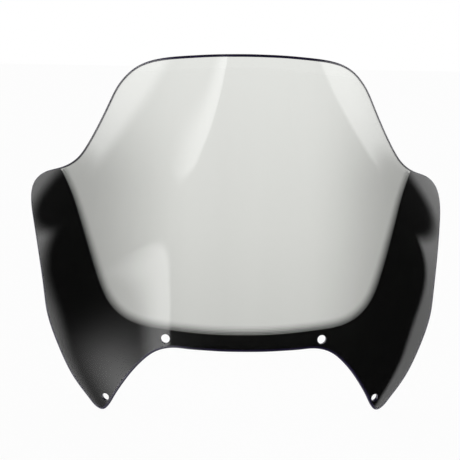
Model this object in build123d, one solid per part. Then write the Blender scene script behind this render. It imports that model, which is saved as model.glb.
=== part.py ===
from build123d import *
import math
import os

# ---------------------------------------------------------------------------
# Motorcycle windshield screen.
# Millimetres, +Z up, X across the motorcycle, -Y is the outer (convex) face
# that meets the wind and +Y is the rider's side.
# Origin: middle of the bounding box in X and Y, lowest point of the two tips.
# ---------------------------------------------------------------------------

# driving dimensions ---------------------------------------------------------
sheet_thickness = 4.0          # cast acrylic sheet
wrap_half_span = 220.0         # half width at which the wrap depth is stated
wrap_depth_mid = 99.0          # wrap depth at the datum height
wrap_depth_gain = 132.0        # linear growth of that depth, per 220 mm of height
wrap_depth_curve = 118.5       # second-order growth, per 220 mm of height squared
wrap_rate = 0.9 / 110.0        # how quickly the flat middle turns into the wings
centreline_sag = -0.84         # centreline bow, per 220 mm of height squared
centreline_flick = -4.6        # centreline S-shape, per 220 mm of height cubed

centre_hole_diameter = 10.0    # for M5 rubber well nuts
tip_hole_diameter = 8.5        # for M5 screws in shouldered rubber washers
centre_hole_x = 87.7
centre_hole_z = -123.6
tip_hole_x = 154.0
tip_hole_z = -196.1

ink_thickness = 0.2            # film of screen printing ink
ink_gap = 0.01                 # keeps ink and acrylic from sharing volume
ink_edge_inset = 2.4           # ink stops short of the polished edge
ink_registration = -4.4        # the printed window sits this far off centre in X

dot_pitch = 2.7                # pitch of the islands along the window edge
dot_diameters = (1.5, 1.0)     # first and second row of islands
dot_row_offset = (1.5, 3.4)    # distance of each row from the film's edge

datum_y = 79.2                 # from the forming datum to the part's origin
datum_z = 212.4

# half outline of the sheet, projected along Y, from the middle of the top edge
# down the right side to the middle of the lower edge
outline_half = [
    (21.6, 192.1), (42.9, 191.4), (61.9, 190.2), (82.2, 188.5), (99.3, 185.9),
    (113.6, 181.6), (125.5, 175.0), (135.9, 165.5), (144.6, 154.0), (152.7, 138.1),
    (161.9, 118.3), (171.1, 99.9), (180.6, 83.0), (189.1, 71.3), (199.2, 63.0),
    (212.3, 56.7), (226.5, 51.4), (236.7, 44.6), (243.3, 35.9), (246.0, 24.9),
    (245.3, 11.8), (241.4, -6.2), (237.0, -25.3), (232.8, -45.4), (229.2, -64.5),
    (226.0, -84.6), (223.2, -101.9), (218.4, -118.5), (211.3, -136.7), (203.0, -155.4),
    (194.6, -171.6), (184.6, -186.4), (172.8, -201.2), (164.6, -209.9), (157.4, -212.3),
    (151.4, -207.2), (144.5, -194.8), (134.5, -177.9), (124.0, -162.9), (113.0, -150.4),
    (102.2, -141.2), (90.8, -135.9), (78.4, -134.0), (63.8, -134.9), (44.8, -136.0),
    (23.3, -136.9),
]
outline_top = (0.0, 192.4)
outline_bottom = (0.0, -137.1)

# half outline of the clear window in the ink, from the middle of its lower edge
# up the right side to where it runs out through the shoulder
window_half = [
    (30.0, -117.4), (60.0, -115.4), (85.0, -112.9), (104.0, -110.6), (118.0, -107.2),
    (129.0, -102.3), (138.0, -96.0), (145.6, -88.0), (151.4, -79.0), (156.2, -69.0),
    (160.4, -58.0), (166.6, -40.0), (172.6, -22.0), (178.7, -4.0), (185.0, 14.0),
    (191.8, 31.0), (198.6, 44.0), (206.5, 56.0),
]
window_bottom = (0.0, -117.9)


# forming surface -------------------------------------------------------------
def outer(x, z):
    """Depth of the outer face at lateral x and height z, forming datum."""
    h = z / 220.0
    depth = wrap_depth_mid + wrap_depth_gain * h + wrap_depth_curve * h * h
    bend = (math.cosh(wrap_rate * x) - 1.0) / (math.cosh(wrap_rate * wrap_half_span) - 1.0)
    return depth * bend + centreline_sag * h * h + centreline_flick * h * h * h


def inward(x, z):
    """Unit normal of the outer face, pointing to the rider's side."""
    e = 0.01
    gx = (outer(x + e, z) - outer(x - e, z)) / (2 * e)
    gz = (outer(x, z + e) - outer(x, z - e)) / (2 * e)
    n = Vector(-gx, 1.0, -gz)
    return n.normalized()


def on_sheet(x, z, depth=0.0):
    """Point at a depth under the outer face, in the part's own frame."""
    n = inward(x, z)
    return Vector(x, outer(x, z) - datum_y, z + datum_z) + n * depth


def skin(depth, x_max=262.0, z_min=-232.0, z_max=212.0, step=12.0):
    """Smooth face at a constant depth under the outer face."""
    nx = 2 * int(x_max / step) + 1
    nz = int((z_max - z_min) / step) + 1
    rows = []
    for i in range(nz):
        z = z_min + (z_max - z_min) * i / (nz - 1)
        rows.append([on_sheet(-x_max + 2 * x_max * j / (nx - 1), z, depth) for j in range(nx)])
    return Face.make_surface_from_array_of_points(rows, tol=1e-3, min_deg=3, max_deg=5)


def column(loop):
    """Straight column along Y over a closed spline through (x, z) points."""
    pts = [Vector(x, -200.0, z + datum_z) for x, z in loop]
    return Solid.extrude(Face(Wire([Spline(*pts, periodic=True)])), Vector(0, 500, 0))


def mirrored(points, first, last):
    """Closed loop from a half outline and its two points on the middle plane."""
    left = [(-x, z) for x, z in points[::-1]]
    return [first] + points + ([last] if last else []) + left


def inset(loop, amount):
    """Loop moved inwards by a distance measured along the sheet."""
    out = []
    n = len(loop)
    for i in range(n):
        (x0, z0), (x1, z1), (x2, z2) = loop[i - 1], loop[i], loop[(i + 1) % n]
        tx, tz = x2 - x0, z2 - z0
        length = math.hypot(tx, tz)
        nx, nz = tz / length, -tx / length          # points inwards, loop runs clockwise
        e = 0.01
        rise = (outer(x1 + nx * e, z1 + nz * e) - outer(x1, z1)) / e
        k = amount / math.hypot(1.0, rise)
        out.append((x1 + nx * k, z1 + nz * k))
    return out


def densify(loop, count):
    """Evenly spaced points on the closed spline through a loop."""
    s = Spline(*[Vector(x, 0, z) for x, z in loop], periodic=True)
    return [(p.X, p.Z) for p in (s @ (i / count) for i in range(count))]


def under(loop, depth):
    """Projected position of a loop once it lies at a depth under the outer face."""
    return [(p.X, p.Z - datum_z) for p in (on_sheet(x, z, depth) for x, z in loop)]


def hole_tool(x, z, diameter):
    """Cylinder through the sheet, square to it."""
    n = inward(x, z)
    start = on_sheet(x, z, -6.0)
    return Solid.make_cylinder(diameter / 2, 18.0, Plane(origin=start, z_dir=n))


hole_places = [
    ("centre_hole_left", -centre_hole_x, centre_hole_z, centre_hole_diameter),
    ("centre_hole_right", centre_hole_x, centre_hole_z, centre_hole_diameter),
    ("tip_hole_left", -tip_hole_x, tip_hole_z, tip_hole_diameter),
    ("tip_hole_right", tip_hole_x, tip_hole_z, tip_hole_diameter),
]

# acrylic sheet -----------------------------------------------------------------
outline = mirrored(outline_half, outline_top, outline_bottom)
trimmed = (skin(0.0) & column(outline)).faces()[0]
sheet = Solid.thicken(trimmed, sheet_thickness, normal_override=Vector(0, 1, 0))
for _, hx, hz, dia in hole_places:
    sheet = sheet - hole_tool(hx, hz, dia)
sheet = sheet.solids()[0]

# printed border on the rider's face --------------------------------------------
film_depth = sheet_thickness + ink_gap
film_outline = under(inset(densify(outline, 260), ink_edge_inset), film_depth)
window = [(x + ink_registration, z) for x, z in
          mirrored(window_half, window_bottom, None)[1 + len(window_half):]
          + [window_bottom] + window_half]
window_edge = Spline(*[Vector(x, -200.0, z + datum_z) for x, z in window])
cut = [Vector(x, -200.0, z + datum_z) for x, z in under(window, film_depth)]
lid = Polyline(cut[-1], Vector(300, -200, 110 + datum_z), Vector(300, -200, 300 + datum_z),
               Vector(-300, -200, 300 + datum_z), Vector(-300, -200, 110 + datum_z), cut[0])
window_column = Solid.extrude(Face(Wire([Spline(*cut)] + lid.edges())), Vector(0, 500, 0))

film_faces = ((skin(film_depth) & column(film_outline)) - window_column).faces()
film_parts = []
for f in film_faces:
    film_parts.append(Solid.thicken(f, ink_thickness, normal_override=Vector(0, 1, 0)))
film = film_parts[0]
for _, hx, hz, dia in hole_places:
    film = film - hole_tool(hx, hz, dia)
film = film.solids()[0]

# islands of ink along the window edge --------------------------------------------
dots = []
edge_length = window_edge.length
for row, (dia, off) in enumerate(zip(dot_diameters, dot_row_offset)):
    count = int(edge_length / dot_pitch)
    for i in range(count):
        t = (i + 0.5 + 0.5 * row) * dot_pitch / edge_length
        if t >= 1.0:
            continue
        p = window_edge @ t
        tan = window_edge % t
        x, z = p.X, p.Z - datum_z
        nx, nz = -tan.Z, tan.X                       # towards the clear side
        e = 0.01
        rise = (outer(x + nx * e, z + nz * e) - outer(x, z)) / e
        k = off / math.hypot(1.0, rise)
        x, z = x + nx * k, z + nz * k
        if z > 50.0:
            continue
        n = inward(x, z)
        dots.append(Solid.make_cylinder(dia / 2, ink_thickness,
                                        Plane(origin=on_sheet(x, z, film_depth), z_dir=n)))

# output ------------------------------------------------------------------------
os.makedirs("parts", exist_ok=True)
nodes = {
    "screen_sheet": sheet,
    "border_print": film,
    "halftone_dots": Compound(children=dots),
}
for name, shape in nodes.items():
    export_step(shape, "parts/" + name + ".step")
    bb = shape.bounding_box()
    print(name, len(shape.solids()), "volume", round(shape.volume, 1), "min", bb.min, "max", bb.max)
for name, hx, hz, dia in hole_places:
    mid = on_sheet(hx, hz, sheet_thickness / 2)
    out = inward(hx, hz) * -1
    print(name, dia, [round(v, 3) for v in mid], [round(v, 5) for v in out])
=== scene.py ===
import bpy, math
import numpy as np
from mathutils import Vector, Matrix
from mathutils.geometry import delaunay_2d_cdt


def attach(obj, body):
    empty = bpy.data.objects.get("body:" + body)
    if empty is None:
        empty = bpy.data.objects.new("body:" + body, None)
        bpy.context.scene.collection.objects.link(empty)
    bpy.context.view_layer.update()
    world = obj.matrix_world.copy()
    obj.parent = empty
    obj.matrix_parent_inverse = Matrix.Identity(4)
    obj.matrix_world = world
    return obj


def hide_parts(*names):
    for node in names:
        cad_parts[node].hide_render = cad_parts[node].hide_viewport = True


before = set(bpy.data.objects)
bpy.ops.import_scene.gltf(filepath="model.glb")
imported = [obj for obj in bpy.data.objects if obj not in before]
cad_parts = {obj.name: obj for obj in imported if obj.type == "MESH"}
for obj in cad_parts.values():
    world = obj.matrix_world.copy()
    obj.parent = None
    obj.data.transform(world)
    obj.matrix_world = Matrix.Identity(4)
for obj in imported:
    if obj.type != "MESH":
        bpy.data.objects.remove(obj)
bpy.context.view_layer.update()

MM = 0.001
T = 4.0                       # sheet thickness
R_EDGE = T / 2                # full-round polished edge
INSET = 2.9                   # ink stops here, and the dark polished edge begins
HOLE_R = {0: 5.0, 1: 5.0, 2: 4.25, 3: 4.25}      # centre holes, tip holes
DATUM_Y, DATUM_Z = 79.2, 212.4
INK_GAP, INK_T = 0.01, 0.2
INK_DX = -4.4

outline_half = [
    (21.6, 192.1), (42.9, 191.4), (61.9, 190.2), (82.2, 188.5), (99.3, 185.9),
    (113.6, 181.6), (125.5, 175.0), (135.9, 165.5), (144.6, 154.0), (152.7, 138.1),
    (161.9, 118.3), (171.1, 99.9), (180.6, 83.0), (189.1, 71.3), (199.2, 63.0),
    (212.3, 56.7), (226.5, 51.4), (236.7, 44.6), (243.3, 35.9), (246.0, 24.9),
    (245.3, 11.8), (241.4, -6.2), (237.0, -25.3), (232.8, -45.4), (229.2, -64.5),
    (226.0, -84.6), (223.2, -101.9), (218.4, -118.5), (211.3, -136.7), (203.0, -155.4),
    (194.6, -171.6), (184.6, -186.4), (172.8, -201.2), (164.6, -209.9), (157.4, -212.3),
    (151.4, -207.2), (144.5, -194.8), (134.5, -177.9), (124.0, -162.9), (113.0, -150.4),
    (102.2, -141.2), (90.8, -135.9), (78.4, -134.0), (63.8, -134.9), (44.8, -136.0),
    (23.3, -136.9),
]
outline_pts = [(0.0, 192.4)] + outline_half + [(0.0, -137.1)] + [(-x, z) for x, z in outline_half[::-1]]
window_half = [
    (30.0, -117.4), (60.0, -115.4), (85.0, -112.9), (104.0, -110.6), (118.0, -107.2),
    (129.0, -102.3), (138.0, -96.0), (145.6, -88.0), (151.4, -79.0), (156.2, -69.0),
    (160.4, -58.0), (166.6, -40.0), (172.6, -22.0), (178.7, -4.0), (185.0, 14.0),
    (191.8, 31.0), (198.6, 44.0), (206.5, 56.0),
]
window_pts = [(INK_DX - x, z) for x, z in window_half[::-1]] + [(INK_DX, -117.9)] + [(INK_DX + x, z) for x, z in window_half]
holes = [(-87.7, -123.6), (87.7, -123.6), (-154.0, -196.1), (154.0, -196.1)]


# ---------------------------------------------------------------- forming surface
def surf(x, z):
    x = np.asarray(x, float); z = np.asarray(z, float)
    h = z / 220.0
    k = 0.9 / 110.0
    n = math.cosh(k * 220.0) - 1.0
    A = 99.0 + 132.0 * h + 118.5 * h * h
    Az = (132.0 + 237.0 * h) / 220.0
    g = (np.cosh(k * x) - 1.0) / n
    gx = k * np.sinh(k * x) / n
    y = A * g - 0.84 * h * h - 4.6 * h ** 3
    return y, A * gx, Az * g + (-1.68 * h - 13.8 * h * h) / 220.0


def inward(x, z):
    _, a, b = surf(x, z)
    v = np.stack([-a, np.ones_like(a), -b], -1)
    return v / np.linalg.norm(v, axis=-1, keepdims=True)


def place(x, z, depth):
    x = np.asarray(x, float); z = np.asarray(z, float)
    y, _, _ = surf(x, z)
    p = np.stack([x, y - DATUM_Y, z + DATUM_Z], -1)
    return (p + inward(x, z) * np.asarray(depth, float)[..., None]) * MM


def spline(points, closed, step):
    """Points at an even step along the C2 cubic through the given points."""
    P = np.array(points, float)
    if closed:
        P = np.vstack([P, P[:1]])
    h = np.linalg.norm(np.diff(P, axis=0), axis=1)
    t = np.r_[0, np.cumsum(h)]
    n = len(P)
    if closed:
        m = n - 1
        A = np.zeros((m, m)); B = np.zeros((m, 2))
        for i in range(m):
            h0, h1 = h[i - 1], h[i]
            A[i, (i - 1) % m] += h0; A[i, i] += 2 * (h0 + h1); A[i, (i + 1) % m] += h1
            B[i] = 6 * ((P[i + 1] - P[i]) / h1 - (P[i] - P[i - 1 if i else m - 1]) / h0)
        M = np.linalg.solve(A, B); M = np.vstack([M, M[:1]])
    else:
        A = np.zeros((n, n)); B = np.zeros((n, 2)); A[0, 0] = A[-1, -1] = 1; A[0, 1] = A[-1, -2] = -1
        for i in range(1, n - 1):
            A[i, i - 1] = h[i - 1]; A[i, i] = 2 * (h[i - 1] + h[i]); A[i, i + 1] = h[i]
            B[i] = 6 * ((P[i + 1] - P[i]) / h[i] - (P[i] - P[i - 1]) / h[i - 1])
        M = np.linalg.solve(A, B)

    def at(u):
        i = np.clip(np.searchsorted(t, u, "right") - 1, 0, n - 2)
        a = (t[i + 1] - u)[:, None]; b = (u - t[i])[:, None]; hh = h[i][:, None]
        return (M[i] * a ** 3 + M[i + 1] * b ** 3) / (6 * hh) + (P[i] / hh - M[i] * hh / 6) * a + (P[i + 1] / hh - M[i + 1] * hh / 6) * b
    fine = at(np.linspace(0, t[-1], 8000))
    d = np.r_[0, np.cumsum(np.linalg.norm(np.diff(fine, axis=0), axis=1))]
    count = max(8, int(round(d[-1] / step)))
    s = np.linspace(0, d[-1], count + 1)
    if closed:
        s = s[:-1]
    return np.c_[np.interp(s, d, fine[:, 0]), np.interp(s, d, fine[:, 1])]


def offset(loop, amount, closed=True):
    """Moves a clockwise loop inwards (right of its direction), measured along the sheet."""
    if closed:
        t = np.roll(loop, -1, 0) - np.roll(loop, 1, 0)
    else:
        t = np.gradient(loop, axis=0)
    t /= np.linalg.norm(t, axis=1, keepdims=True)
    n = np.c_[t[:, 1], -t[:, 0]]
    e = 0.01
    rise = (surf(loop[:, 0] + n[:, 0] * e, loop[:, 1] + n[:, 1] * e)[0] - surf(loop[:, 0], loop[:, 1])[0]) / e
    return loop + n * (amount / np.hypot(1.0, rise))[:, None]


def inside(poly, pts):
    x, z = pts[:, 0], pts[:, 1]
    res = np.zeros(len(pts), bool)
    j = len(poly) - 1
    for i in range(len(poly)):
        xi, zi = poly[i]; xj, zj = poly[j]
        if zi != zj:
            c = ((zi > z) != (zj > z)) & (x < (xj - xi) * (z - zi) / (zj - zi) + xi)
            res ^= c
        j = i
    return res


# ---------------------------------------------------------------- flat layout of the sheet
edge = spline(outline_pts, True, 2.0)
NE = len(edge)
inner = offset(edge, INSET)
win = spline(window_pts, False, 2.0)


def hole_loop(cx, cz, r, n=40):
    c = np.array([cx, surf(cx, cz)[0], cz])
    nn = inward(np.array([cx]), np.array([cz]))[0]
    e1 = np.cross([0, 0, 1.0], nn); e1 /= np.linalg.norm(e1)
    e2 = np.cross(nn, e1)
    a = np.linspace(0, 2 * np.pi, n, endpoint=False)
    p = c + r * (np.cos(a)[:, None] * e1 + np.sin(a)[:, None] * e2)
    return p[:, [0, 2]], (p - c) / r


verts, edges = [], []


def add_loop(pts, closed=True):
    s = len(verts)
    verts.extend([tuple(p) for p in pts])
    m = len(pts)
    edges.extend([(s + i, s + (i + 1) % m) for i in range(m if closed else m - 1)])
    return s


add_loop(inner)
CH = 0.35
rim_loops = []
for hi, (hx, hz) in enumerate(holes):
    lp, rad = hole_loop(hx, hz, HOLE_R[hi] + CH)
    rim_loops.append((len(verts), lp, rad, (hx, hz, HOLE_R[hi])))
    add_loop(lp)
# the window's two ends land on corners of the inner loop
i0 = int(np.argmin(np.linalg.norm(inner - win[0], axis=1)))
i1 = int(np.argmin(np.linalg.norm(inner - win[-1], axis=1)))
keep = inside(inner, win) & (np.linalg.norm(inner[None] - win[:, None], axis=2).min(1) > 1.2)
mid = win[keep]
s = len(verts)
verts.extend([tuple(p) for p in mid])
edges.append((i0, s))
edges.extend([(s + i, s + i + 1) for i in range(len(mid) - 1)])
edges.append((s + len(mid) - 1, i1))
window_poly = np.vstack([inner[i0], mid, inner[i1], [400, 120], [400, 400], [-400, 400], [-400, 120]])
# even filling
gap = 4.5
gx = np.arange(-252, 252.1, gap); gz = np.arange(-216, 200, gap * 0.866)
G = np.array([(x + (gap / 2 if j % 2 else 0), z) for j, z in enumerate(gz) for x in gx])
G = G[inside(inner, G)]
fixed = np.array(verts)
ok = np.ones(len(G), bool)
for k in range(0, len(G), 400):
    d = np.linalg.norm(G[k:k + 400, None] - fixed[None], axis=2).min(1)
    ok[k:k + 400] = d > 2.6
for hi, (hx, hz) in enumerate(holes):
    ok &= np.hypot(G[:, 0] - hx, G[:, 1] - hz) > HOLE_R[hi] + 2.0
G = G[ok]
verts.extend([tuple(p) for p in G])
co, _, faces, ov, _, _ = delaunay_2d_cdt([Vector(v) for v in verts], edges, [], 0, 1e-7)
V2 = np.array([tuple(v) for v in co])
assert len(V2) == len(verts) and all(len(o) == 1 and o[0] == i for i, o in enumerate(ov)), (len(V2), len(verts))
F = np.array([tuple(f) for f in faces])
C = V2[F].mean(1)
ins = inside(inner, C)
for _, lp, _, _ in rim_loops:
    ins &= ~inside(lp, C)
F = F[ins]; C = C[ins]
# same turn for every triangle
a, b, c = V2[F[:, 0]], V2[F[:, 1]], V2[F[:, 2]]
cr = (b[:, 0] - a[:, 0]) * (c[:, 1] - a[:, 1]) - (b[:, 1] - a[:, 1]) * (c[:, 0] - a[:, 0])
F[cr < 0] = F[cr < 0][:, ::-1]
clear = inside(window_poly, C)


def make(name, P, faces, mats, index=None, normals=None, smooth=True):
    me = bpy.data.meshes.new(name)
    me.from_pydata([tuple(p) for p in P], [], [tuple(int(i) for i in f) for f in faces])
    for m in mats:
        me.materials.append(m)
    if index is not None:
        me.polygons.foreach_set("material_index", np.asarray(index, np.int32))
    me.polygons.foreach_set("use_smooth", np.full(len(me.polygons), smooth))
    me.update()
    if normals is not None:
        me.normals_split_custom_set_from_vertices([tuple(n) for n in normals])
    ob = bpy.data.objects.new(name, me)
    bpy.context.scene.collection.objects.link(ob)
    return ob


# ---------------------------------------------------------------- materials
def new_mat(name):
    m = bpy.data.materials.new(name)
    m.use_nodes = True
    nt = m.node_tree
    return m, nt, nt.nodes["Principled BSDF"]


def node(nt, kind, **kw):
    n = nt.nodes.new(kind)
    for k, v in kw.items():
        if k.startswith("i_"):
            n.inputs[k[2:].replace("_", " ")].default_value = v
        else:
            setattr(n, k, v)
    return n


def acrylic(name, ior, bonded=False):
    m, nt, b = new_mat(name)
    L = nt.links.new
    tc = node(nt, "ShaderNodeTexCoord")
    # smoke tint: the colour is a little darker towards the lower edge, faint forming streaks
    sep = node(nt, "ShaderNodeSeparateXYZ"); L(tc.outputs["Object"], sep.inputs[0])
    up = node(nt, "ShaderNodeMapRange"); up.inputs["From Min"].default_value = 0.06; up.inputs["From Max"].default_value = 0.40
    L(sep.outputs["Z"], up.inputs["Value"])
    mp = node(nt, "ShaderNodeMapping"); mp.inputs["Scale"].default_value = (26.0, 26.0, 1.3)
    L(tc.outputs["Object"], mp.inputs["Vector"])
    streak = node(nt, "ShaderNodeTexNoise"); streak.inputs["Scale"].default_value = 1.0; streak.inputs["Detail"].default_value = 3.0
    L(mp.outputs[0], streak.inputs["Vector"])
    ramp = node(nt, "ShaderNodeValToRGB")
    e = ramp.color_ramp.elements
    e[0].position = 0.0; e[0].color = TINT_LOW
    e[1].position = 1.0; e[1].color = TINT_TOP
    mid_ = ramp.color_ramp.elements.new(0.45); mid_.color = TINT_MID
    L(up.outputs[0], ramp.inputs[0])
    hsv = node(nt, "ShaderNodeHueSaturation")
    val = node(nt, "ShaderNodeMapRange"); val.inputs["To Min"].default_value = 0.975; val.inputs["To Max"].default_value = 1.025
    L(streak.outputs["Fac"], val.inputs["Value"])
    # painted shade: the tint is darkened towards the wings, where the sheet turns away from the camera, less so near
    # the top
    ax = node(nt, "ShaderNodeMath", operation="ABSOLUTE"); L(sep.outputs["X"], ax.inputs[0])
    side = node(nt, "ShaderNodeMapRange", interpolation_type="SMOOTHSTEP")
    side.inputs["From Min"].default_value = 0.060; side.inputs["From Max"].default_value = 0.185
    side.inputs["To Min"].default_value = 0.0; side.inputs["To Max"].default_value = 0.42
    L(ax.outputs[0], side.inputs["Value"])
    vert = node(nt, "ShaderNodeMapRange", interpolation_type="SMOOTHSTEP")
    vert.inputs["From Min"].default_value = 0.25; vert.inputs["From Max"].default_value = 0.37
    vert.inputs["To Min"].default_value = 1.0; vert.inputs["To Max"].default_value = 0.30
    L(sep.outputs["Z"], vert.inputs["Value"])
    # painted shade across the wings, faded out towards the top
    painted_wing_shade = node(nt, "ShaderNodeMath", operation="MULTIPLY"); L(side.outputs[0], painted_wing_shade.inputs[0]); L(vert.outputs[0], painted_wing_shade.inputs[1])
    left = node(nt, "ShaderNodeMath", operation="SUBTRACT"); left.inputs[0].default_value = 1.0; L(painted_wing_shade.outputs[0], left.inputs[1])
    both = node(nt, "ShaderNodeMath", operation="MULTIPLY"); L(left.outputs[0], both.inputs[0]); L(val.outputs[0], both.inputs[1])
    L(both.outputs[0], hsv.inputs["Value"])
    L(ramp.outputs[0], hsv.inputs["Color"]); L(hsv.outputs[0], b.inputs["Base Color"])
    b.inputs["Transmission Weight"].default_value = 1.0
    b.inputs["IOR"].default_value = ior
    # polish marks: very fine changes of gloss
    fine = node(nt, "ShaderNodeTexNoise"); fine.inputs["Scale"].default_value = 160.0; fine.inputs["Detail"].default_value = 4.0
    L(tc.outputs["Object"], fine.inputs["Vector"])
    ro = node(nt, "ShaderNodeMapRange"); ro.inputs["To Min"].default_value = 0.0; ro.inputs["To Max"].default_value = 0.035
    L(fine.outputs["Fac"], ro.inputs["Value"])
    if not bonded:
        L(ro.outputs[0], b.inputs["Roughness"])
        wave = node(nt, "ShaderNodeTexNoise"); wave.inputs["Scale"].default_value = 14.0; wave.inputs["Detail"].default_value = 1.0
        L(tc.outputs["Object"], wave.inputs["Vector"])
        bump = node(nt, "ShaderNodeBump"); bump.inputs["Strength"].default_value = 0.25; bump.inputs["Distance"].default_value = 0.0004
        L(wave.outputs["Fac"], bump.inputs["Height"]); L(bump.outputs[0], b.inputs["Normal"])
    else:
        b.inputs["Roughness"].default_value = 0.0
    return m


TINT_LOW = (0.575, 0.58, 0.556, 1)
TINT_MID = (0.70, 0.708, 0.678, 1)
TINT_TOP = (0.80, 0.81, 0.78, 1)
mat_clear = acrylic("smoke_acrylic", 1.49)
mat_bonded = acrylic("smoke_acrylic_under_ink", 1.0, True)


def edge_material():
    m, nt, b = new_mat("polished_edge")
    L = nt.links.new
    tc = node(nt, "ShaderNodeTexCoord")
    n1 = node(nt, "ShaderNodeTexNoise"); n1.inputs["Scale"].default_value = 60.0; n1.inputs["Detail"].default_value = 3.0
    L(tc.outputs["Object"], n1.inputs["Vector"])
    r = node(nt, "ShaderNodeValToRGB")
    r.color_ramp.elements[0].position = 0.3; r.color_ramp.elements[0].color = (0.010, 0.008, 0.024, 1)
    r.color_ramp.elements[1].position = 0.7; r.color_ramp.elements[1].color = (0.022, 0.017, 0.050, 1)
    L(n1.outputs["Fac"], r.inputs[0]); L(r.outputs[0], b.inputs["Base Color"])
    n2 = node(nt, "ShaderNodeTexNoise"); n2.inputs["Scale"].default_value = 900.0
    L(tc.outputs["Object"], n2.inputs["Vector"])
    ro = node(nt, "ShaderNodeMapRange"); ro.inputs["To Min"].default_value = 0.08; ro.inputs["To Max"].default_value = 0.22
    L(n2.outputs["Fac"], ro.inputs["Value"]); L(ro.outputs[0], b.inputs["Roughness"])
    b.inputs["IOR"].default_value = 1.49
    return m


def ink_material():
    m, nt, b = new_mat("screen_ink")
    L = nt.links.new
    tc = node(nt, "ShaderNodeTexCoord")
    n1 = node(nt, "ShaderNodeTexNoise"); n1.inputs["Scale"].default_value = 45.0; n1.inputs["Detail"].default_value = 5.0
    L(tc.outputs["Object"], n1.inputs["Vector"])
    r = node(nt, "ShaderNodeValToRGB")
    r.color_ramp.elements[0].position = 0.3; r.color_ramp.elements[0].color = (0.0045, 0.0045, 0.0050, 1)
    r.color_ramp.elements[1].position = 0.7; r.color_ramp.elements[1].color = (0.0090, 0.0090, 0.0095, 1)
    L(n1.outputs["Fac"], r.inputs[0]); L(r.outputs[0], b.inputs["Base Color"])
    n2 = node(nt, "ShaderNodeTexNoise"); n2.inputs["Scale"].default_value = 1800.0; n2.inputs["Detail"].default_value = 2.0
    L(tc.outputs["Object"], n2.inputs["Vector"])
    ro = node(nt, "ShaderNodeMapRange"); ro.inputs["To Min"].default_value = 0.55; ro.inputs["To Max"].default_value = 0.75
    L(n2.outputs["Fac"], ro.inputs["Value"]); L(ro.outputs[0], b.inputs["Roughness"])
    bump = node(nt, "ShaderNodeBump"); bump.inputs["Strength"].default_value = 0.3; bump.inputs["Distance"].default_value = 0.00005
    L(n2.outputs["Fac"], bump.inputs["Height"]); L(bump.outputs[0], b.inputs["Normal"])
    b.inputs["Specular IOR Level"].default_value = 0.2
    return m


mat_edge = edge_material()
mat_ink = ink_material()

# ---------------------------------------------------------------- acrylic sheet
N2 = len(V2)
nin = inward(V2[:, 0], V2[:, 1])
P = [place(V2[:, 0], V2[:, 1], np.zeros(N2)), place(V2[:, 0], V2[:, 1], np.full(N2, T))]
NR = [-nin, nin]
faces, mi = [], []
for f in F:
    faces.append((f[0], f[1], f[2])); mi.append(0)             # outer face looks to -Y
for f, cl in zip(F, clear):
    faces.append((f[2] + N2, f[1] + N2, f[0] + N2)); mi.append(0 if cl else 1)
base = 2 * N2
# full-round edge: rings from the front loop, over the crown, to the back loop
m_out = place(edge[:, 0], edge[:, 1], np.zeros(NE)) - place(inner[:, 0], inner[:, 1], np.zeros(NE))
m_out /= np.linalg.norm(m_out, axis=1, keepdims=True)
angles = np.radians([90, 76, 62, 48, 34, 18, 0, -18, -34, -48, -62, -76, -90])
rings = [np.arange(NE)]
for ang in angles:
    d = R_EDGE * (1 - math.cos(ang))
    lp = offset(edge, d)
    dep = R_EDGE * (1 - math.sin(ang))
    P.append(place(lp[:, 0], lp[:, 1], np.full(NE, dep)))
    n_ = inward(lp[:, 0], lp[:, 1])
    NR.append(m_out * math.cos(ang) - n_ * math.sin(ang))
    rings.append(base + np.arange(NE)); base += NE
rings.append(np.arange(NE) + N2)
for k in range(len(rings) - 1):
    A_, B_ = rings[k], rings[k + 1]
    for i in range(NE):
        j = (i + 1) % NE
        faces.append((A_[i], A_[j], B_[j], B_[i]))
        mi.append(2)
# drilled holes with a broken edge
for s0, lp, rad, (hx, hz, hr) in rim_loops:
    n = len(lp)
    wl, wr = hole_loop(hx, hz, hr)
    loops = [s0 + np.arange(n)]
    for dep in (CH, T - CH):
        P.append(place(wl[:, 0], wl[:, 1], np.full(n, dep)))
        NR.append(-wr)
        loops.append(base + np.arange(n)); base += n
    loops.append(s0 + np.arange(n) + N2)
    for k in range(3):
        A_, B_ = loops[k], loops[k + 1]
        for i in range(n):
            j = (i + 1) % n
            faces.append((A_[i], A_[j], B_[j], B_[i])); mi.append(2)
P = np.vstack(P); NR = np.vstack(NR)
faces = [tuple(f) for f in faces]
sheet = make("tinted_screen", P, faces, [mat_clear, mat_bonded, mat_edge], mi)
import bmesh
bm = bmesh.new(); bm.from_mesh(sheet.data)
bmesh.ops.recalc_face_normals(bm, faces=bm.faces)
bad = [e for e in bm.edges if len(e.link_faces) != 2]
print("sheet open edges", len(bad), "volume cm3", round(bm.calc_volume() * 1e6, 1))
bm.to_mesh(sheet.data); bm.free()
sheet.data.normals_split_custom_set_from_vertices([tuple(n) for n in NR])


def closed_skin(name, tri, d0, d1, mat):
    """Closed film over some of the triangles, between two depths."""
    used = np.unique(tri)
    back = -np.ones(N2, int); back[used] = np.arange(len(used))
    t = back[tri]; n = len(used)
    xz = V2[used]
    Pn = np.vstack([place(xz[:, 0], xz[:, 1], np.full(n, d0)), place(xz[:, 0], xz[:, 1], np.full(n, d1))])
    fs = [tuple(f) for f in t] + [tuple(f[::-1] + n) for f in t]
    count = {}
    for f in t:
        for i in range(3):
            count[(f[i], f[(i + 1) % 3])] = 1
    for (p, q) in count:
        if (q, p) not in count:
            fs.append((q, p, p + n, q + n))
    ob = make(name, Pn, fs, [mat])
    bm = bmesh.new(); bm.from_mesh(ob.data)
    bmesh.ops.recalc_face_normals(bm, faces=bm.faces)
    print(name, "open edges", len([e for e in bm.edges if len(e.link_faces) != 2]))
    bm.to_mesh(ob.data); bm.free()
    ob.data.polygons.foreach_set("use_smooth", np.zeros(len(ob.data.polygons), bool))
    return ob


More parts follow.
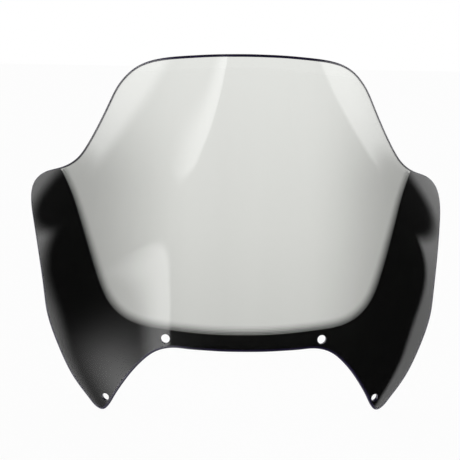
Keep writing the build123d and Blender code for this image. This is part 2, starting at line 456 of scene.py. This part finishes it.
film = closed_skin("ink_border", F[~clear], T + INK_GAP, T + INK_GAP + INK_T, mat_ink)

# ---------------------------------------------------------------- halftone fade
PITCH = 1.93
dots_P, dots_F = [], []
base = 0
SEG = 12
ang = np.linspace(0, 2 * np.pi, SEG, endpoint=False)
path = spline(window_pts, False, PITCH)
half = spline(window_pts, False, PITCH / 2)[1::2]
for row in range(6):
    off = 1.0 + row * 1.67
    r = [0.92, 0.82, 0.70, 0.57, 0.43, 0.28][row]
    line = (path if row % 2 == 0 else half).copy()
    c2 = offset(line[::-1], off, False)
    okk = inside(inner, c2) & (c2[:, 1] < 60)
    okk &= np.linalg.norm(c2[:, None] - inner[None], axis=2).min(1) > r + 0.6
    for (x, z) in c2[okk]:
        n = inward(np.array([x]), np.array([z]))[0]
        c = place(np.array([x]), np.array([z]), np.array([T + INK_GAP]))[0]
        e1 = np.cross([0, 0, 1.0], n); e1 /= np.linalg.norm(e1); e2 = np.cross(n, e1)
        ring = c + r * MM * (np.cos(ang)[:, None] * e1 + np.sin(ang)[:, None] * e2)
        dots_P.append(ring); dots_P.append(ring + n * INK_T * MM)
        dots_F.append(tuple(base + i for i in range(SEG)))
        dots_F.append(tuple(base + SEG + i for i in range(SEG))[::-1])
        for i in range(SEG):
            j = (i + 1) % SEG
            dots_F.append((base + j, base + i, base + SEG + i, base + SEG + j))
        base += 2 * SEG
dots = make("halftone_fade", np.vstack(dots_P), dots_F, [mat_ink], smooth=False)
bm = bmesh.new(); bm.from_mesh(dots.data); bmesh.ops.recalc_face_normals(bm, faces=bm.faces)
bm.to_mesh(dots.data); bm.free()
print("dots", base // (2 * SEG))

for ob, nd, sl in ((sheet, "screen_sheet", "tinted_acrylic"), (film, "border_print", "black_ink"), (dots, "halftone_dots", "black_ink")):
    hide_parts(nd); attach(ob, "root")

# ---------------------------------------------------------------- floor and light
sc = bpy.context.scene
sc.view_settings.view_transform = "Standard"
fm = bpy.data.materials.new("studio_floor"); fm.use_nodes = True
nt = fm.node_tree; nt.nodes.clear(); L = nt.links.new
out = nt.nodes.new("ShaderNodeOutputMaterial")
dif = nt.nodes.new("ShaderNodeBsdfDiffuse"); dif.inputs["Color"].default_value = (0.9, 0.9, 0.9, 1)
em = nt.nodes.new("ShaderNodeEmission"); em.inputs["Color"].default_value = (1, 1, 1, 1); em.inputs["Strength"].default_value = 0.95
em2 = nt.nodes.new("ShaderNodeBsdfTransparent")
add = nt.nodes.new("ShaderNodeAddShader"); mixd = nt.nodes.new("ShaderNodeMixShader")
tr = nt.nodes.new("ShaderNodeBsdfTransparent"); tr.inputs["Color"].default_value = (0, 0, 0, 1)
mixd.inputs[0].default_value = 0.12
L(tr.outputs[0], mixd.inputs[1]); L(dif.outputs[0], mixd.inputs[2])
L(mixd.outputs[0], add.inputs[0]); L(em.outputs[0], add.inputs[1])
lp_ = nt.nodes.new("ShaderNodeLightPath"); pick = nt.nodes.new("ShaderNodeMixShader")
L(lp_.outputs["Is Reflection Ray"], pick.inputs[0]); L(add.outputs[0], pick.inputs[1]); L(em2.outputs[0], pick.inputs[2])
L(pick.outputs[0], out.inputs["Surface"])
bpy.ops.mesh.primitive_plane_add(size=1, location=(0, 2.0, -0.0005))
floor = bpy.context.object; floor.name = "floor"; floor.scale = (60, 60, 1)
floor.data.materials.append(fm)

world = bpy.data.worlds.new("studio"); sc.world = world; world.use_nodes = True
nt = world.node_tree; nt.nodes.clear(); L = nt.links.new
out = nt.nodes.new("ShaderNodeOutputWorld"); bg = nt.nodes.new("ShaderNodeBackground")
L(bg.outputs[0], out.inputs[0])
tc = nt.nodes.new("ShaderNodeTexCoord"); sep = nt.nodes.new("ShaderNodeSeparateXYZ"); L(tc.outputs["Generated"], sep.inputs[0])


def math_(op, a, b=None, c=None):
    n = nt.nodes.new("ShaderNodeMath"); n.operation = op
    for i, v in enumerate((a, b, c)):
        if v is None:
            continue
        if isinstance(v, (int, float)):
            n.inputs[i].default_value = v
        else:
            L(v, n.inputs[i])
    return n.outputs[0]


def step_(v, lo, hi):
    n = nt.nodes.new("ShaderNodeMapRange"); n.interpolation_type = "SMOOTHSTEP"; n.clamp = True
    L(v, n.inputs["Value"]); n.inputs["From Min"].default_value = lo; n.inputs["From Max"].default_value = hi
    return n.outputs[0]


X, Y, Z = sep.outputs
az = math_("ARCTAN2", X, math_("MULTIPLY", Y, -1.0))          # 0 towards the camera side, + to the right


def one_minus(v):
    return math_("SUBTRACT", 1.0, v)


def mul(*v):
    o = v[0]
    for w in v[1:]:
        o = math_("MULTIPLY", o, w)
    return o


# tall curved softbox on the left: soft outer side, crisp inner side
rise = math_("MAXIMUM", math_("ADD", Z, 0.23), 0.0)
az_r = math_("SUBTRACT", math_("MULTIPLY", math_("POWER", rise, 2.52), -8.1), 0.32)
rel = math_("SUBTRACT", az, az_r)
strip = mul(step_(rel, -0.22, -0.05), one_minus(step_(rel, -0.012, 0.012)), one_minus(step_(Z, -0.02, 0.12)), 3.3)
# low fill panel on the left, near the floor
ga = math_("POWER", math_("DIVIDE", math_("ADD", az, 0.66), 0.22), 2.0)
gz = math_("POWER", math_("DIVIDE", math_("ADD", Z, 0.48), 0.15), 2.0)
glow = mul(math_("EXPONENT", math_("MULTIPLY", math_("ADD", ga, gz), -0.5)), 3.5)
# side panels that only the outer edges of the wings see
rz = math_("POWER", math_("MAXIMUM", math_("ADD", Z, 0.3), 0.0), 2.0)
lw = math_("SUBTRACT", math_("SUBTRACT", math_("MULTIPLY", rz, -1.4), 1.04), az)
lw = mul(math_("POWER", step_(lw, 0.0, 0.20), 1.3), one_minus(step_(Z, 0.315, 0.34)), 2.6, one_minus(mul(step_(math_("MULTIPLY", az, -1.0), 1.7, 2.3), 0.5)))
rw = math_("SUBTRACT", az, math_("ADD", math_("MULTIPLY", rz, 1.6), 1.19))
rw = mul(step_(rw, 0.0, 0.07), one_minus(step_(Z, 0.235, 0.26)), 2.2, one_minus(mul(step_(az, 1.7, 2.3), 0.5)))
behind = mul(step_(Y, 0.75, 0.98), 0.8)
refl = math_("ADD", 0.05, math_("ADD", strip, math_("ADD", glow, math_("ADD", lw, math_("ADD", rw, behind)))))
lp_ = nt.nodes.new("ShaderNodeLightPath")
isr = lp_.outputs["Is Reflection Ray"]
val = math_("ADD", math_("MULTIPLY", isr, refl), math_("MULTIPLY", one_minus(isr), 1.0))
bg.inputs["Color"].default_value = (1, 1, 1, 1)
L(val, bg.inputs["Strength"])

# ---------------------------------------------------------------- camera
yaw, el, roll, x0, D = -0.0693554, 0.12, 0.0186447, -16.684839, 1500.0
S = 1.1
f = np.array([-math.sin(yaw) * math.cos(el), math.cos(yaw) * math.cos(el), -math.sin(el)])
r = np.array([math.cos(yaw), math.sin(yaw), 0.0]); u = np.cross(r, f); u /= np.linalg.norm(u)
rr = math.cos(roll) * r + math.sin(roll) * u
uu = -math.sin(roll) * r + math.cos(roll) * u
Cp = np.array([x0 * S, -DATUM_Y, DATUM_Z]) * MM - f * D * S * MM
cam = bpy.data.cameras.new("cam"); cam.sensor_fit = "HORIZONTAL"; cam.sensor_width = 36.0; cam.lens = 36.0 * D / 460.0
cam.clip_start = 0.05; cam.clip_end = 60
co_ = bpy.data.objects.new("cam", cam); sc.collection.objects.link(co_)
M4 = Matrix(((rr[0], uu[0], -f[0], Cp[0]), (rr[1], uu[1], -f[1], Cp[1]), (rr[2], uu[2], -f[2], Cp[2]), (0, 0, 0, 1)))
co_.matrix_world = M4
sc.camera = co_

bpy.context.view_layer.update()
